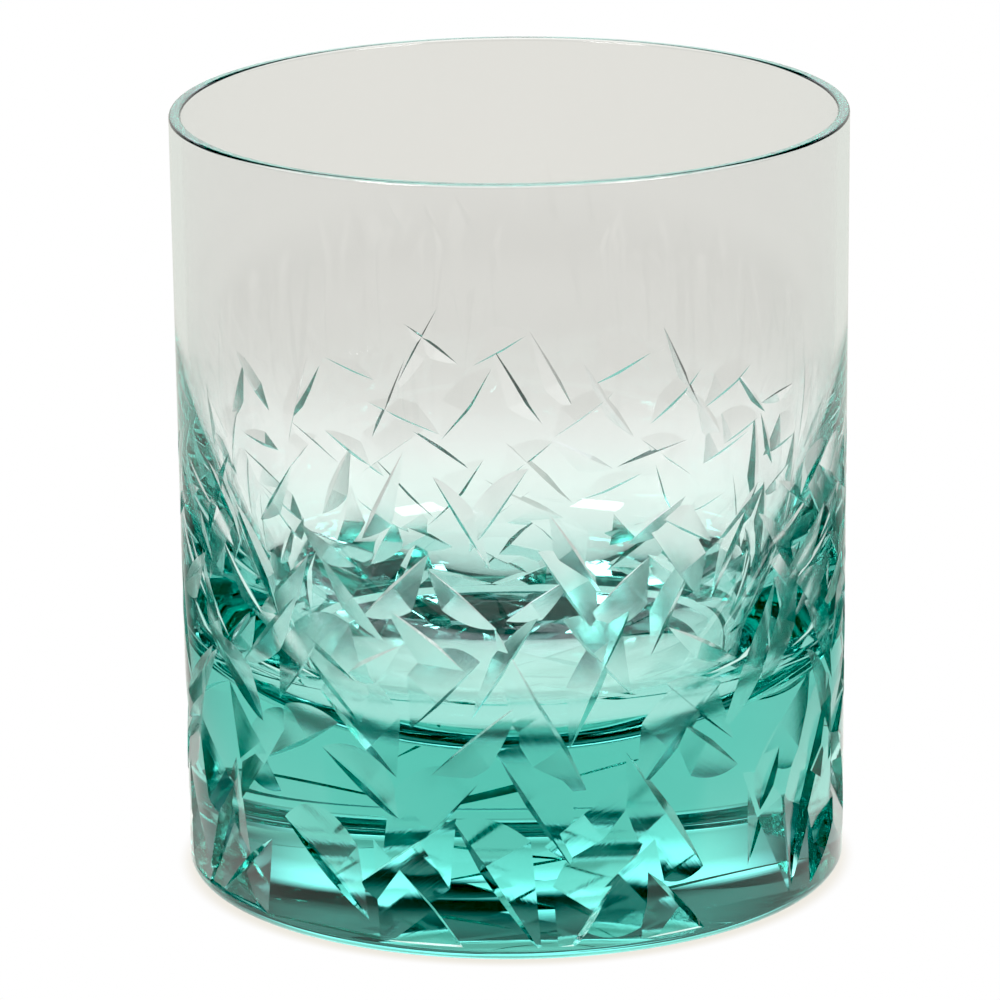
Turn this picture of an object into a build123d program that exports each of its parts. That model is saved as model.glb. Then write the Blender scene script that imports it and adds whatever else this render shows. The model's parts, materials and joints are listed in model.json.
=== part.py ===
from build123d import *
import math
import os
import random

# Whiskey tumbler: one heavy, hand-cut glass, made of a thin-walled bowl and the thick
# base that it is fused to while hot. The origin is on the table under the middle of the
# foot, +Z is up, and all sizes are in millimetres.

# Driving sizes of the glass
height = 97.0  # table to lip
rim_radius = 42.0  # outside, at the lip
side_draft = 0.6  # how much smaller the outside radius is at the foot than at the lip
wall = 1.5  # drinking wall, from the lip down to where it starts to thicken
lip_round = 0.5  # fire-polished edge of the lip, inside and outside
wall_swell_radius = 115.0  # radius of the inside curve that thickens the wall
wall_lean = 16.0  # degrees off upright where that curve ends and the inside runs straight
well_corner = 10.0  # inside corner between the leaning wall and the dished floor
dish_radius = 58.0  # radius of the dished floor
floor_height = 19.5  # glass under the lowest point of the drink
wall_swell_rise = 50.5  # height above that point at which the wall starts to thicken
bowl_floor = 3.0  # the part of that glass which belongs to the bowl
foot_round = 1.6  # rounding between the side and the ring that rests on the table
foot_band = 0.3  # plain polished strip between that rounding and the cuts
foot_ring = 4.5  # width of the flat ring that the glass stands on
foot_hollow = 2.0  # depth of the polished hollow inside that ring

# Driving sizes of the wheel-cut pattern
cut_seed = 23
lowest_row = 5.0  # height of the middle of the lowest row of cuts
row_pitch = 6.9
cuts_in_row = (13, 18, 24, 24, 25, 30, 36, 34)  # from the foot up
bearing_scatter = 0.35  # share of a cut's own place that it may be off by
height_scatter = 2.8
lean_low, lean_high = 24.0, 62.0  # degrees off upright, left and right in turn
depth_low, depth_high = 0.85, 1.4  # glass taken out at the deepest point, in the lowest row
top_depth_share = 0.42  # how deep the highest row is compared with the lowest
length_low, length_high = 30.0, 44.0  # of a lowest-row cut, if it were made in a flat side
top_length_share = 0.5  # how long the highest row is compared with the lowest
keel_low, keel_high = 0.2, 0.5  # share of a cut's length that lies below its deepest point
tips_up = 0.7  # share of the cuts that run out long and thin at their upper end
face_low, face_high = 3.8, 7.5  # degrees between the wide face of a cut and the side
top_face_rise = 14.0  # most that is added to that in the highest row
steep_low, steep_high = 48.0, 68.0  # degrees between the narrow face of a cut and the side
wheel_stand_off = 0.4  # how far the wheel's edge reaches out of the glass

base_top = floor_height - bowl_floor
wall_swell_top = floor_height + wall_swell_rise
foot_height = foot_round + foot_band


def side_radius(z):
    """Outside radius of the uncut glass at a height."""
    return rim_radius - side_draft * (1 - z / height)


def wheel_cuts():
    """Where each cut is deepest, which way it runs, its length and the slopes of its sides."""
    draw = random.Random(cut_seed)
    cuts = []
    for row, count in enumerate(cuts_in_row):
        share = row / (len(cuts_in_row) - 1)
        shallower = 1 - share * (1 - top_depth_share)
        shorter = 1 - share * (1 - top_length_share)
        for place in range(count):
            scatter = draw.uniform(-bearing_scatter, bearing_scatter)
            keel = draw.uniform(keel_low, keel_high)
            cuts.append(
                {
                    "bearing": (place + row / 2 + scatter) * 360 / count,
                    "height": lowest_row + row * row_pitch + draw.uniform(-1, 1) * height_scatter,
                    "lean": (-1) ** place * draw.uniform(lean_low, lean_high),
                    "depth": shallower * draw.uniform(depth_low, depth_high),
                    "length": shorter * draw.uniform(length_low, length_high),
                    "keel": keel if draw.random() < tips_up else 1 - keel,
                    "face": draw.uniform(face_low, face_high) + share * draw.uniform(0, top_face_rise),
                    "steep": draw.uniform(steep_low, steep_high),
                    "steep_side": draw.choice((-1, 1)),
                }
            )
    return cuts


def grind(cuts):
    """Take the cuts out of the part being built: each is a four-sided point set into the side."""
    points = []
    for cut in cuts:
        around = math.radians(cut["bearing"])
        lean = math.radians(cut["lean"])
        outward = Vector(math.cos(around), math.sin(around), 0)
        sideways = Vector(-math.sin(around), math.cos(around), 0)
        along = Vector(0, 0, 1) * math.cos(lean) + sideways * math.sin(lean)
        tip = outward * (side_radius(cut["height"]) - cut["depth"]) + Vector(0, 0, cut["height"])
        lift = cut["depth"] + wheel_stand_off
        length = cut["length"] * lift / cut["depth"]
        narrow = cut["steep_side"] * lift / math.tan(math.radians(cut["steep"]))
        wide = cut["steep_side"] * lift / math.tan(math.radians(cut["face"]))
        with BuildSketch(Plane(tip + outward * lift, x_dir=along, z_dir=outward)) as mouth:
            with BuildLine():
                Polyline(
                    (length * (1 - cut["keel"]), 0),
                    (0, narrow),
                    (-length * cut["keel"], 0),
                    (0, -wide),
                    close=True,
                )
            make_face()
        points.append(loft([mouth.sketch, Vertex(*tip)], ruled=True, mode=Mode.PRIVATE))
    add(points, mode=Mode.SUBTRACT)


def reaches(cut, low, high):
    """Whether a cut can take glass away between two heights."""
    length = cut["length"] * (1 + wheel_stand_off / cut["depth"])
    return cut["height"] + length > low and cut["height"] - length < high


cuts = wheel_cuts()

# Bowl: the blown drinking wall and its own floor. Its inside runs straight down from the
# lip, swells inwards along one large arc, leans in and rounds into the dished floor.
inside_top = rim_radius - wall
inside_swell = side_radius(wall_swell_top) - wall
lean = math.radians(wall_lean)
swell_end = Vector(
    inside_swell - wall_swell_radius * (1 - math.cos(lean)),
    wall_swell_top - wall_swell_radius * math.sin(lean),
)
down = Vector(-math.sin(lean), -math.cos(lean))
dish_middle = Vector(0, floor_height + dish_radius)
from_dish = swell_end - dish_middle
reach = dish_radius**2 - from_dish.dot(from_dish)
dish_edge = swell_end + down * (math.sqrt(from_dish.dot(down) ** 2 + reach) - from_dish.dot(down))
with BuildPart() as bowl:
    with BuildSketch(Plane.XZ):
        with BuildLine():
            Polyline(
                (0, base_top),
                (side_radius(base_top), base_top),
                (rim_radius, height),
                (inside_top, height),
                (inside_swell, wall_swell_top),
            )
            JernArc(
                start=(inside_swell, wall_swell_top),
                tangent=(0, -1),
                radius=wall_swell_radius,
                arc_size=-wall_lean,
            )
            Line(swell_end, dish_edge)
            RadiusArc(dish_edge, (0, floor_height), dish_radius)
            Line((0, floor_height), (0, base_top))
        profile = make_face()
        corner = profile.vertices().sort_by_distance(dish_edge)[0]
        fillet(corner, well_corner)
    revolve(axis=Axis.Z)
    lip = bowl.edges().filter_by(GeomType.CIRCLE).group_by(Axis.Z)[-1]
    fillet(lip, lip_round)
    grind([cut for cut in cuts if reaches(cut, base_top, height)])
bowl.part.label = "bowl"

# Base: the thick gather of glass under the bowl, cut together with it. The plain foot is
# added below the cut side, so that the wheel never reaches it, and its underside is ground
# hollow, so that the glass stands on a ring.
hollow_edge = side_radius(0) - foot_round - foot_ring
hollow_radius = (hollow_edge**2 + foot_hollow**2) / (2 * foot_hollow)
with BuildPart() as base:
    with BuildSketch(Plane.XZ):
        with BuildLine():
            Polyline(
                (0, foot_height),
                (side_radius(foot_height), foot_height),
                (side_radius(base_top), base_top),
                (0, base_top),
                close=True,
            )
        make_face()
    revolve(axis=Axis.Z)
    grind([cut for cut in cuts if reaches(cut, foot_height, base_top)])
    with BuildSketch(Plane.XZ):
        with BuildLine():
            Polyline(
                (0, 0),
                (side_radius(0), 0),
                (side_radius(foot_height), foot_height),
                (0, foot_height),
                close=True,
            )
        foot = make_face()
        fillet(foot.vertices().sort_by_distance((side_radius(0), 0))[0], foot_round)
    revolve(axis=Axis.Z)
    with BuildSketch(Plane.XZ):
        with BuildLine():
            Polyline((0, foot_hollow), (0, 0), (hollow_edge, 0))
            RadiusArc((hollow_edge, 0), (0, foot_hollow), -hollow_radius)
        make_face()
    revolve(axis=Axis.Z, mode=Mode.SUBTRACT)
base.part.label = "base"

os.makedirs("parts", exist_ok=True)
export_step(bowl.part, "parts/bowl.step")
export_step(base.part, "parts/base.step")
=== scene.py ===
import json
import math
import random
import bmesh
import bpy
import numpy as np
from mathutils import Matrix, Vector

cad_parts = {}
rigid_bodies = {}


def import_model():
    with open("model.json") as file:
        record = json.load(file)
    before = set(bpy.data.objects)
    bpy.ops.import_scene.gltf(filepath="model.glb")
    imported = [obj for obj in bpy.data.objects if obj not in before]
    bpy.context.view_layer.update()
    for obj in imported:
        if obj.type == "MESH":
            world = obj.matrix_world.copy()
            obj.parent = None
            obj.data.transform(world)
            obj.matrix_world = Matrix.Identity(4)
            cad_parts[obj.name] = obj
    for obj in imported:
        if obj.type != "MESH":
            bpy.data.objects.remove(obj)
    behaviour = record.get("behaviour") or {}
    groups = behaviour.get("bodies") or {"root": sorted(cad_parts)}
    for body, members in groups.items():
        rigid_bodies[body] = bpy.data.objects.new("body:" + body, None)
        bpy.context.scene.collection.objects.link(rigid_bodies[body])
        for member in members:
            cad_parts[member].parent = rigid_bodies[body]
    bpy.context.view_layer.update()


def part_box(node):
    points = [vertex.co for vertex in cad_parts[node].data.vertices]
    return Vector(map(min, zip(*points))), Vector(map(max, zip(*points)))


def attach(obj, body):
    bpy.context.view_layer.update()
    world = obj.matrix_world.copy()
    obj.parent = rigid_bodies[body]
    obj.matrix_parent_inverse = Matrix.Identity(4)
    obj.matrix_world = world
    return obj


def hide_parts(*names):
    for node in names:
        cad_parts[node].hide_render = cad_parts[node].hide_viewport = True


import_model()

# ---------------------------------------------------------------------------
# The blank: a thin blown bowl of crystal glass, fused hot to the thick solid gather that makes
# its base, so that no seam is left. The lip is fire polished, and the foot is ground to a ring.
# ---------------------------------------------------------------------------
mm = 0.001
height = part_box("bowl")[1][2]
rim_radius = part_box("bowl")[1][0]
side_draft = 0.6 * mm
wall = 1.5 * mm
lip_round = 0.5 * mm
wall_swell_radius = 115.0 * mm
wall_lean = 16.0
well_corner = 10.0 * mm
dish_radius = 58.0 * mm
floor_height = 19.5 * mm
wall_swell_top = floor_height + 50.5 * mm
foot_round = 1.6 * mm
foot_band = 0.3 * mm
foot_ring = 4.5 * mm
foot_hollow = 2.0 * mm
hollow_blend = 0.2 * mm
side_rings = (60.0 * mm, 80.0 * mm)
blank_sides = 256


def side_radius(z):
    """Outside radius of the uncut glass at a height."""
    return rim_radius - side_draft * (1 - z / height)


def arc(middle, radius, start, end, steps, inside=False):
    """Points of the half-section along an arc in degrees, each with its normal: r, z, nr, nz."""
    points = []
    for step in range(steps + 1):
        turn = math.radians(start + (end - start) * step / steps)
        way = (math.cos(turn), math.sin(turn))
        point = (middle[0] + radius * way[0], middle[1] + radius * way[1])
        points.append((*point, *(-way[0], -way[1])) if inside else (*point, *way))
    return points


def well():
    """The inside from the top of the swell down to the middle of the dished floor."""
    start = (side_radius(wall_swell_top) - wall - wall_swell_radius, wall_swell_top)
    swell = arc(start, wall_swell_radius, 0, -wall_lean, steps=30, inside=True)
    lean = math.radians(wall_lean)
    down = np.array([-math.sin(lean), -math.cos(lean)])
    inward = np.array([-math.cos(lean), math.sin(lean)])
    dish_middle = np.array([0, floor_height + dish_radius])
    offset = np.array(swell[-1][:2]) + inward * well_corner - dish_middle
    reach = (dish_radius - well_corner) ** 2 - offset @ offset
    run = -offset @ down + math.sqrt((offset @ down) ** 2 + reach)
    middle = dish_middle + offset + down * run
    meet = math.degrees(math.atan2(*(middle - dish_middle)[::-1]))
    corner = arc(middle, well_corner, -wall_lean, meet, steps=20, inside=True)
    dish = arc(dish_middle, dish_radius, meet, -90, steps=20, inside=True)
    return [*swell, *corner, *dish[1:-1], (0, floor_height, 0, 1)]


def half_section():
    """The outline of the glass from the middle of the foot out, up, over the lip and down."""
    foot = arc((side_radius(0) - foot_round, foot_round), foot_round, -90, 0, steps=10)
    lip_out = arc((rim_radius - lip_round, height - lip_round), lip_round, 0, 90, steps=8)
    lip_in = arc((rim_radius - wall + lip_round, height - lip_round), lip_round, 90, 180, steps=8)
    hollow_edge = side_radius(0) - foot_round - foot_ring
    hollow_radius = (hollow_edge**2 + foot_hollow**2) / (2 * foot_hollow)
    hollow_turn = math.degrees(math.asin(hollow_edge / hollow_radius))
    hollow_middle = (0, foot_hollow - hollow_radius)
    hollow = arc(hollow_middle, hollow_radius, 90, 90 - hollow_turn, steps=24)
    return [
        (0, foot_hollow, 0, -1),
        *((r, z, -nr, -nz) for r, z, nr, nz in hollow[1:]),
        (hollow_edge + hollow_blend, 0, 0, -1),
        *foot,
        *((side_radius(z), z, 1, 0) for z in side_rings),
        *lip_out,
        *lip_in,
        *well(),
    ]


def turned(name, section, sides):
    """A closed solid of revolution, with a point where the section meets the axis."""
    points, rings, faces = [], [], []
    for radius, z, *_ in section:
        count = sides if radius else 1
        rings.append([len(points) + k % count for k in range(sides)])
        for k in range(count):
            turn = 2 * math.pi * k / sides
            points.append((radius * math.cos(turn), radius * math.sin(turn), z))
    for low, high in zip(rings, rings[1:]):
        for k in range(sides):
            corners = [low[k], low[(k + 1) % sides], high[(k + 1) % sides], high[k]]
            faces.append(list(dict.fromkeys(corners)))
    mesh = bpy.data.meshes.new(name)
    mesh.from_pydata(points, [], faces)
    mesh.attributes.new("cut", "INT", "FACE")
    mesh.uv_layers.new(name="wheel_travel")
    piece = bpy.data.objects.new(name, mesh)
    bpy.context.collection.objects.link(piece)
    return piece


glass = turned("tumbler_glass", half_section(), blank_sides)

# ---------------------------------------------------------------------------
# The cuts: shards ground into the side by hand, with the mitred edge of a stone wheel. Each is
# a long kite with a wide shallow face and a narrow steep one, crossing others like broken ice.
# They get smaller, shallower and steeper from the foot up, and stop in a ragged edge.
# ---------------------------------------------------------------------------
cut_seed = 23
lowest_row = 5.0 * mm
row_pitch = 6.9 * mm
cuts_in_row = (13, 18, 24, 24, 25, 30, 36, 34)
bearing_scatter = 0.35
height_scatter = 2.8 * mm
lean_low, lean_high = 24.0, 62.0
depth_low, depth_high = 0.85 * mm, 1.4 * mm
top_depth_share = 0.42
length_low, length_high = 30.0 * mm, 44.0 * mm
top_length_share = 0.5
keel_low, keel_high = 0.2, 0.5
tips_up = 0.7
face_low, face_high = 3.8, 7.5
top_face_rise = 14.0
steep_low, steep_high = 48.0, 68.0
wheel_stand_off = 0.4 * mm
travel_apart = 40.0  # mm on the map between two cuts, so that their grinding lines differ


def wheel_cuts():
    """Where each cut is deepest, which way it runs, its length and the slopes of its sides."""
    draw = random.Random(cut_seed)
    cuts = []
    for row, count in enumerate(cuts_in_row):
        share = row / (len(cuts_in_row) - 1)
        shallower = 1 - share * (1 - top_depth_share)
        shorter = 1 - share * (1 - top_length_share)
        for place in range(count):
            scatter = draw.uniform(-bearing_scatter, bearing_scatter)
            keel = draw.uniform(keel_low, keel_high)
            cuts.append(
                {
                    "bearing": (place + row / 2 + scatter) * 360 / count,
                    "height": lowest_row + row * row_pitch + draw.uniform(-1, 1) * height_scatter,
                    "lean": (-1) ** place * draw.uniform(lean_low, lean_high),
                    "depth": shallower * draw.uniform(depth_low, depth_high),
                    "length": shorter * draw.uniform(length_low, length_high),
                    "keel": keel if draw.random() < tips_up else 1 - keel,
                    "face": draw.uniform(face_low, face_high) + share * draw.uniform(0, top_face_rise),
                    "steep": draw.uniform(steep_low, steep_high),
                    "steep_side": draw.choice((-1, 1)),
                }
            )
    return cuts


def wheel_edge(cut, number, group):
    """The closed four-sided point that one pass of the wheel takes away, deepest at its tip."""
    around = math.radians(cut["bearing"])
    lean = math.radians(cut["lean"])
    depth = cut["depth"]
    outward = np.array([math.cos(around), math.sin(around), 0])
    sideways = np.array([-math.sin(around), math.cos(around), 0])
    along = np.array([0, 0, 1]) * math.cos(lean) + sideways * math.sin(lean)
    across = np.cross(outward, along) * cut["steep_side"]
    tip = outward * (side_radius(cut["height"]) - depth) + np.array([0, 0, cut["height"]])
    reach = 1 + wheel_stand_off / depth
    ring = [
        tip + reach * (outward * depth + along * cut["length"] * (1 - cut["keel"])),
        tip + reach * (outward * depth + across * depth / math.tan(math.radians(cut["steep"]))),
        tip + reach * (outward * depth - along * cut["length"] * cut["keel"]),
        tip + reach * (outward * depth - across * depth / math.tan(math.radians(cut["face"]))),
    ]
    form = bmesh.new()
    travel = form.loops.layers.uv.new("wheel_travel")
    point = form.verts.new(tip)
    rim = [form.verts.new(corner) for corner in ring]
    form.faces.new(rim)
    for k in range(4):
        form.faces.new((point, rim[k], rim[(k + 1) % 4]))
    for face in form.faces:
        for loop in face.loops:
            offset = np.array(loop.vert.co) - tip
            loop[travel].uv = (offset @ along / mm, offset @ across / mm + travel_apart * number)
    # The wheel stops at the plain strip above the foot, so its point is closed off flat there.
    strip = (0, 0, foot_round + foot_band)
    whole = [*form.verts, *form.edges, *form.faces]
    bmesh.ops.bisect_plane(form, geom=whole, plane_co=strip, plane_no=(0, 0, -1), clear_outer=True)
    bmesh.ops.holes_fill(form, edges=[edge for edge in form.edges if edge.is_boundary])
    bmesh.ops.recalc_face_normals(form, faces=form.faces)
    mesh = bpy.data.meshes.new("wheel_edge")
    form.to_mesh(mesh)
    form.free()
    mesh.attributes.new("cut", "INT", "FACE").data.foreach_set("value", [number] * len(mesh.polygons))
    group.objects.link(bpy.data.objects.new("wheel_edge", mesh))


def true_normals(places):
    """The normals of the uncut glass at points on it, from the nearest run of its half-section."""
    outline = np.array(half_section())
    start, run = outline[:-1, :2], np.diff(outline[:, :2], axis=0)
    radius = np.hypot(places[:, 0], places[:, 1])
    offset = np.stack([radius, places[:, 2]], axis=1)[:, None] - start
    share = np.clip((offset * run).sum(2) / (run**2).sum(1), 0, 1)
    nearest = np.linalg.norm(offset - share[..., None] * run, axis=2).argmin(1)
    share = share[np.arange(len(places)), nearest, None]
    normal = outline[nearest, 2:] * (1 - share) + outline[nearest + 1, 2:] * share
    turn = np.arctan2(places[:, 1], places[:, 0])
    around = np.stack([np.cos(turn), np.sin(turn)], axis=1) * normal[:, :1]
    both = np.concatenate([around, normal[:, 1:]], axis=1)
    return both / np.linalg.norm(both, axis=1, keepdims=True)


wheel = bpy.data.collections.new("wheel")
for number, cut in enumerate(wheel_cuts(), start=1):
    wheel_edge(cut, number, wheel)
grinding = glass.modifiers.new("grinding", "BOOLEAN")
grinding.solver = "MANIFOLD"
grinding.operation = "DIFFERENCE"
grinding.operand_type = "COLLECTION"
grinding.collection = wheel
ready = glass.evaluated_get(bpy.context.evaluated_depsgraph_get())
cut_mesh = bpy.data.meshes.new_from_object(ready)
glass.modifiers.clear()
glass.data = cut_mesh
for edge in list(wheel.objects):
    bpy.data.objects.remove(edge)
bpy.data.collections.remove(wheel)

# The cuts are flat, and the blown and polished glass between them stays perfectly round.
places = np.zeros(3 * len(cut_mesh.vertices))
cut_mesh.vertices.foreach_get("co", places)
uncut_normals = true_normals(places.reshape(-1, 3))
numbers = np.zeros(len(cut_mesh.polygons), int)
cut_mesh.attributes["cut"].data.foreach_get("value", numbers)
corner_normals = np.zeros((len(cut_mesh.loops), 3))
for face, number in zip(cut_mesh.polygons, numbers):
    face.use_smooth = True
    for corner in face.loop_indices:
        uncut = uncut_normals[cut_mesh.loops[corner].vertex_index]
        corner_normals[corner] = face.normal if number else uncut
cut_mesh.normals_split_custom_set(corner_normals.tolist())
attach(glass, "root")
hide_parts("bowl", "base")

# ---------------------------------------------------------------------------
# The glass itself: aquamarine crystal, melted clear, blown, wheel cut and polished. Its colour
# runs all through it, so it is an absorption: the lip looks almost clear, and the blue-green
# deepens with the thickness of the base.
# ---------------------------------------------------------------------------
clear_tint, thin_tint = "fcfffe", "fcf9fa"
tint_low, tint_high = 34.0 * mm, 44.0 * mm
absorption_density = 30.0  # per metre
absorption_tint = "71e1d9"
crystal_ior = 1.52
lines_along, lines_across = 0.12, 3.0  # per mm; the real lines are finer, but would not show
line_detail, line_roughness = 3.0, 0.6
line_depth = 0.006 * mm
line_noise_low, line_noise_high = 0.35, 0.75
polish_smooth, polish_rough = 0.02, 0.10
satin_low, satin_high = 14.0 * mm, 26.0 * mm
satin_rise = 0.17


def linear(code):
    """A colour's sRGB hex code as the linear values that a shader takes."""
    parts = [int(code[k : k + 2], 16) / 255 for k in (0, 2, 4)]
    return [*(p / 12.92 if p <= 0.04045 else ((p + 0.055) / 1.055) ** 2.4 for p in parts), 1]


def node(tree, kind, sockets=(), **settings):
    """Adds a node with its settings, and fills its sockets with values, nodes or their outputs."""
    made = tree.nodes.new(kind)
    for name, value in settings.items():
        setattr(made, name, value)
    for name, value in dict(sockets).items():
        if isinstance(value, bpy.types.Node):
            value = value.outputs[0]
        if isinstance(value, bpy.types.NodeSocket):
            tree.links.new(value, made.inputs[name])
        else:
            made.inputs[name].default_value = value
    return made


# Blown and polished glass is perfectly smooth, so the uncut side gives sharp, clear reflections.
# The cuts in the base are polished bright, and those above keep a faint satin, with fine lines
# along the way that the wheel ran, so that they catch the light as pale shards.
aquamarine = bpy.data.materials.new("aquamarine_crystal")
aquamarine.use_nodes = True
tree = aquamarine.node_tree
tree.nodes.clear()
place = node(tree, "ShaderNodeTexCoord")
split = node(tree, "ShaderNodeSeparateXYZ", {0: place.outputs["Object"]})
travel = node(tree, "ShaderNodeUVMap", uv_map="wheel_travel")
line_size = (lines_along, lines_across, 1.0)
stretch = node(tree, "ShaderNodeMapping", {"Vector": travel, "Scale": line_size})
noise = {"Vector": stretch, "Scale": 1.0, "Detail": line_detail, "Roughness": line_roughness}
lines = node(tree, "ShaderNodeTexNoise", noise)
number = node(tree, "ShaderNodeAttribute", attribute_name="cut")
is_cut = node(tree, "ShaderNodeMath", {0: number.outputs["Fac"], 1: 0.5}, operation="GREATER_THAN")
polish = node(
    tree,
    "ShaderNodeMapRange",
    {
        "Value": lines,
        "From Min": line_noise_low,
        "From Max": line_noise_high,
        "To Min": polish_smooth,
        "To Max": polish_rough,
    },
)
satin = node(
    tree,
    "ShaderNodeMapRange",
    {"Value": split.outputs["Z"], "From Min": satin_low, "From Max": satin_high, "To Max": satin_rise},
    interpolation_type="SMOOTHSTEP",
)
finish = node(tree, "ShaderNodeMath", {0: polish, 1: satin}, operation="ADD")
finish_on_cuts = node(tree, "ShaderNodeMath", {0: finish, 1: is_cut}, operation="MULTIPLY")
scratched = {"Height": lines, "Strength": is_cut, "Distance": line_depth}
relief = node(tree, "ShaderNodeBump", scratched)
thinness = node(
    tree,
    "ShaderNodeMapRange",
    {"Value": split.outputs["Z"], "From Min": tint_low, "From Max": tint_high},
    interpolation_type="SMOOTHSTEP",
)
tints = {0: thinness, 6: linear(clear_tint), 7: linear(thin_tint)}
tint = node(tree, "ShaderNodeMix", tints, data_type="RGBA")
crystal = node(
    tree,
    "ShaderNodeBsdfPrincipled",
    {
        "Base Color": tint.outputs[2],
        "Roughness": finish_on_cuts,
        "Normal": relief,
        "IOR": crystal_ior,
        "Transmission Weight": 1.0,
    },
)
absorption = {"Density": absorption_density, "Color": linear(absorption_tint)}
depth_colour = node(tree, "ShaderNodeVolumeAbsorption", absorption)
node(tree, "ShaderNodeOutputMaterial", {"Surface": crystal, "Volume": depth_colour})
glass.data.materials.clear()
glass.data.materials.append(aquamarine)

# ---------------------------------------------------------------------------
# The table: a plain pale floor that glows, with a painted faint warm shadow where the foot
# stands. Straight to the eye it is white. Light that the glass bends meets it as paper with a
# painted pool of light in the middle, and painted dark shade at its sides and in front, which
# draws the edges of the glass and of its cuts.
# ---------------------------------------------------------------------------
floor_radius = 3.0
floor_sides = 96
floor_drop = 0.05 * mm
paper_tint, paper_middle_tint = "fffef7", "fffef9"
paper_light, paper_middle_light = 0.815, 1.14
pool_inner, pool_outer = 0.09, 0.22
# A painted faint warm shadow on the floor round the foot, seen straight by the eye.
contact_shadow_tint, white = "efebe2", "ffffff"
contact_shadow_inner, contact_shadow_outer = 40.5 * mm, 43.2 * mm
# Painted dark shade on the floor at its sides and in front, fading out behind and far off.
side_shade_near, side_shade_far, side_shade_light = 0.042, 0.11, 0.06
front_shade_near, front_shade_far, front_shade_light = 0.043, 0.062, 0.12
shade_back_near, shade_back_far = 0.1, 0.2
shade_edge_inner, shade_edge_outer = 0.17, 0.26
straight_look = (1.5, 4.5)  # between these bends, light has only crossed one or two walls


def lit(code, light):
    """A tint's linear values at a brightness, which may be over 1."""
    return [*(light * part for part in linear(code)[:3]), 1]


floor_mesh = bpy.data.meshes.new("floor")
form = bmesh.new()
bmesh.ops.create_circle(form, cap_ends=True, segments=floor_sides, radius=floor_radius)
form.to_mesh(floor_mesh)
form.free()
floor = bpy.data.objects.new("floor", floor_mesh)
bpy.context.collection.objects.link(floor)
pale = bpy.data.materials.new("pale_floor")
pale.use_nodes = True
tree = pale.node_tree
tree.nodes.clear()
ray = node(tree, "ShaderNodeLightPath")
place = node(tree, "ShaderNodeTexCoord")
split = node(tree, "ShaderNodeSeparateXYZ", {0: place.outputs["Object"]})
distance = node(tree, "ShaderNodeVectorMath", {0: place.outputs["Object"]}, operation="LENGTH")
away = distance.outputs["Value"]
aside = node(tree, "ShaderNodeMath", {0: split.outputs["X"]}, operation="ABSOLUTE")
ahead = split.outputs["Y"]
fades = {}
for name, source, start, end, low, high in (
    ("pool", away, pool_inner, pool_outer, 0, 1),
    ("contact_shadow", away, contact_shadow_inner, contact_shadow_outer, 0, 1),
    ("side_shade", aside, side_shade_near, side_shade_far, 0, 1 - side_shade_light),
    ("front_shade", ahead, -front_shade_far, -front_shade_near, 1 - front_shade_light, 0),
    ("shade_back", ahead, shade_back_near, shade_back_far, 1, 0),
    ("shade_edge", away, shade_edge_inner, shade_edge_outer, 1, 0),
):
    span = {"Value": source, "From Min": start, "From Max": end, "To Min": low, "To Max": high}
    fades[name] = node(tree, "ShaderNodeMapRange", span, interpolation_type="SMOOTHSTEP")
middle = lit(paper_middle_tint, paper_middle_light)
papers = {0: fades["pool"], 6: middle, 7: lit(paper_tint, paper_light)}
paper = node(tree, "ShaderNodeMix", papers, data_type="RGBA")
# The painted dark shade: darker at the sides and in front, fading out behind and far off.
painted_shades = node(tree, "ShaderNodeMath", {0: fades["side_shade"], 1: fades["front_shade"]}, operation="MAXIMUM")
ending = node(tree, "ShaderNodeMath", {0: fades["shade_back"], 1: fades["shade_edge"]}, operation="MULTIPLY")
painted_shade_spread = node(tree, "ShaderNodeMath", {0: painted_shades, 1: ending}, operation="MULTIPLY")
# A look straight through a wall or two doesn't meet the painted dark shade, so that no smoky
# patch stands behind the clear glass from any side. Only reflections and much-bent light do.
bends = ray.outputs["Ray Depth"]
few = node(tree, "ShaderNodeMath", {0: bends, 1: straight_look[0]}, operation="LESS_THAN")
many = node(tree, "ShaderNodeMath", {0: bends, 1: straight_look[1]}, operation="GREATER_THAN")
bent = node(tree, "ShaderNodeMath", {0: few, 1: many}, operation="MAXIMUM")
darker = node(tree, "ShaderNodeMath", {0: painted_shade_spread, 1: bent}, operation="MULTIPLY")
left = node(tree, "ShaderNodeMath", {0: 1.0, 1: darker}, operation="SUBTRACT")
dimmed = {0: paper.outputs[2], "Scale": left}
to_the_glass = node(tree, "ShaderNodeVectorMath", dimmed, operation="SCALE")
# Straight to the eye the floor is white, with a painted faint warm shadow round the foot.
shades = {0: fades["contact_shadow"], 6: linear(contact_shadow_tint), 7: linear(white)}
to_the_eye = node(tree, "ShaderNodeMix", shades, data_type="RGBA")
choice = {0: ray.outputs["Is Camera Ray"], 6: to_the_glass, 7: to_the_eye.outputs[2]}
shown = node(tree, "ShaderNodeMix", choice, data_type="RGBA")
glow = node(tree, "ShaderNodeEmission", {"Color": shown.outputs[2]})
node(tree, "ShaderNodeOutputMaterial", {"Surface": glow})
floor_mesh.materials.append(pale)
floor.location.z = -floor_drop

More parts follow.
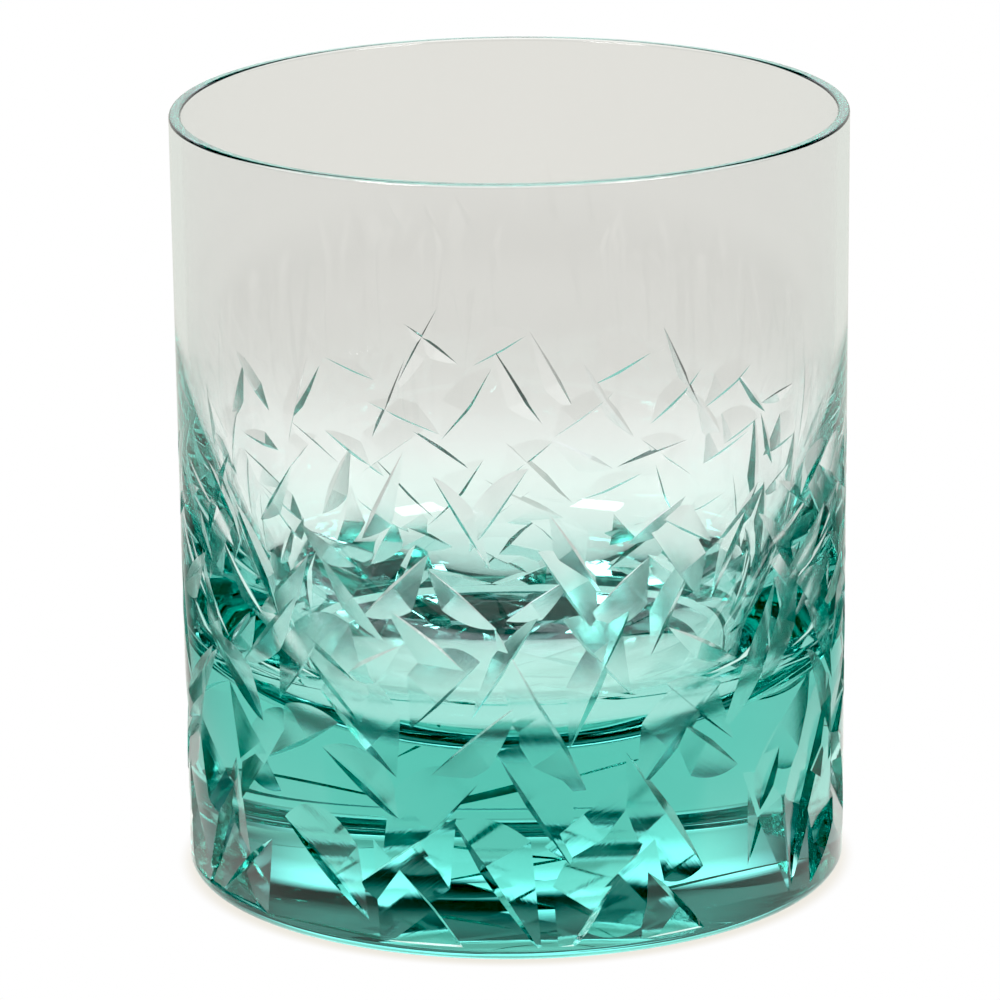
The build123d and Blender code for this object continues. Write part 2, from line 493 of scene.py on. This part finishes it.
# ---------------------------------------------------------------------------
# The studio: a white room to the eye. To the glass it is a pale wall, bright bands above it and
# a dark ceiling, weaker towards the sides and behind the eye, with two softboxes in front.
# ---------------------------------------------------------------------------
room_bands = (  # upward part of the direction, tint and brightness
    (0.01, "fffef7", 0.71),
    (0.13, "fffffd", 1.2),
    (0.30, "ffffff", 1.4),
    (0.37, "f8f8ff", 2.45),
    (0.42, "f8f8ff", 2.45),
    (0.455, "fff3da", 0.02),
    (0.50, "fff3da", 0.02),
    (0.55, "fffffc", 0.35),
    (0.66, "fffffc", 0.35),
    (0.72, "ffefd5", 0.03),
)
horizon_low, horizon_high = 0.03, 0.10
front_edge, back_edge = -0.1, 0.6
front_light, back_light = 0.25, 1.15
side_flag_near, side_flag_far, side_flag_light = 0.35, 0.75, 0.12
softboxes = (  # name, place, size in metres, watts
    ("softbox_left", (-0.75, -0.8, 0.75), 0.45, 7.0),
    ("softbox_right", (0.8, -0.7, 0.8), 0.45, 6.0),
    ("softbox_above", (0.0, 0.1, 1.2), 0.6, 1.0),
)
world = bpy.data.worlds.new("studio")
bpy.context.scene.world = world
world.use_nodes = True
tree = world.node_tree
tree.nodes.clear()
ray = node(tree, "ShaderNodeLightPath")
way = node(tree, "ShaderNodeTexCoord")
split = node(tree, "ShaderNodeSeparateXYZ", {0: way.outputs["Generated"]})
bands = node(tree, "ShaderNodeValToRGB", {0: split.outputs["Z"]})
for upward, *_ in room_bands[2:]:
    bands.color_ramp.elements.new(upward)
for stop, (upward, code, light) in zip(bands.color_ramp.elements, room_bands):
    stop.position = upward
    stop.color = lit(code, light)
facing = node(
    tree,
    "ShaderNodeMapRange",
    {
        "Value": split.outputs["Y"],
        "From Min": front_edge,
        "From Max": back_edge,
        "To Min": front_light,
        "To Max": back_light,
    },
)
aside = node(tree, "ShaderNodeMath", {0: split.outputs["X"]}, operation="ABSOLUTE")
flags = node(
    tree,
    "ShaderNodeMapRange",
    {
        "Value": aside,
        "From Min": side_flag_near,
        "From Max": side_flag_far,
        "To Min": 1.0,
        "To Max": side_flag_light,
    },
    interpolation_type="SMOOTHSTEP",
)
strength = node(tree, "ShaderNodeMath", {0: facing, 1: flags}, operation="MULTIPLY")
room = node(tree, "ShaderNodeVectorMath", {0: bands, "Scale": strength}, operation="SCALE")
above = node(
    tree,
    "ShaderNodeMapRange",
    {"Value": split.outputs["Z"], "From Min": horizon_low, "From Max": horizon_high},
    interpolation_type="SMOOTHSTEP",
)
# Below the horizon the room has the colour of the paper, so no edge shows where the floor ends.
halves = {0: above, 6: lit(paper_tint, paper_light), 7: room}
around = node(tree, "ShaderNodeMix", halves, data_type="RGBA")
to_the_glass = node(tree, "ShaderNodeBackground", {"Color": around.outputs[2]})
to_the_eye = node(tree, "ShaderNodeBackground", {"Color": linear(white)})
choice = {0: ray.outputs["Is Camera Ray"], 1: to_the_glass, 2: to_the_eye}
seen = node(tree, "ShaderNodeMixShader", choice)
node(tree, "ShaderNodeOutputWorld", {"Surface": seen})

for name, place, size, power in softboxes:
    light = bpy.data.lights.new(name, "AREA")
    light.shape = "SQUARE"
    light.size = size
    light.energy = power
    lamp = bpy.data.objects.new(name, light)
    lamp.location = place
    lamp.rotation_euler = (-Vector(place)).to_track_quat("-Z", "Y").to_euler()
    bpy.context.collection.objects.link(lamp)

# ---------------------------------------------------------------------------
# The camera: a long lens, a little above the lip. The light may bend and reflect many times
# before it is given up, because thick cut glass would otherwise end in black patches.
# ---------------------------------------------------------------------------
camera_elevation = math.radians(15.81)
camera_distance = 20.27 * rim_radius
camera_roll = -0.01
camera_focus = 244.7
camera_film = 36.0
camera_shift = (-0.0129, -0.0146)
black_level = (0.03, 0.025, 0.025)
glass_bounces = 48
glossy_bounces = 24
lens = bpy.data.cameras.new("camera")
lens.lens = camera_focus
lens.sensor_width = camera_film
lens.shift_x, lens.shift_y = camera_shift
camera = bpy.data.objects.new("camera", lens)
bpy.context.collection.objects.link(camera)
back = camera_distance * math.cos(camera_elevation)
rise = camera_distance * math.sin(camera_elevation)
camera.location = (0, -back, height / 2 + rise)
camera.rotation_euler = (math.pi / 2 - camera_elevation, 0, 0)
camera.rotation_euler.rotate_axis("Z", camera_roll)
scene = bpy.context.scene
scene.camera = camera
scene.view_settings.view_transform = "Standard"
scene.view_settings.use_curve_mapping = True
scene.view_settings.curve_mapping.black_level = black_level
scene.view_settings.curve_mapping.update()
scene.cycles.max_bounces = glass_bounces
scene.cycles.transmission_bounces = glass_bounces
scene.cycles.glossy_bounces = glossy_bounces
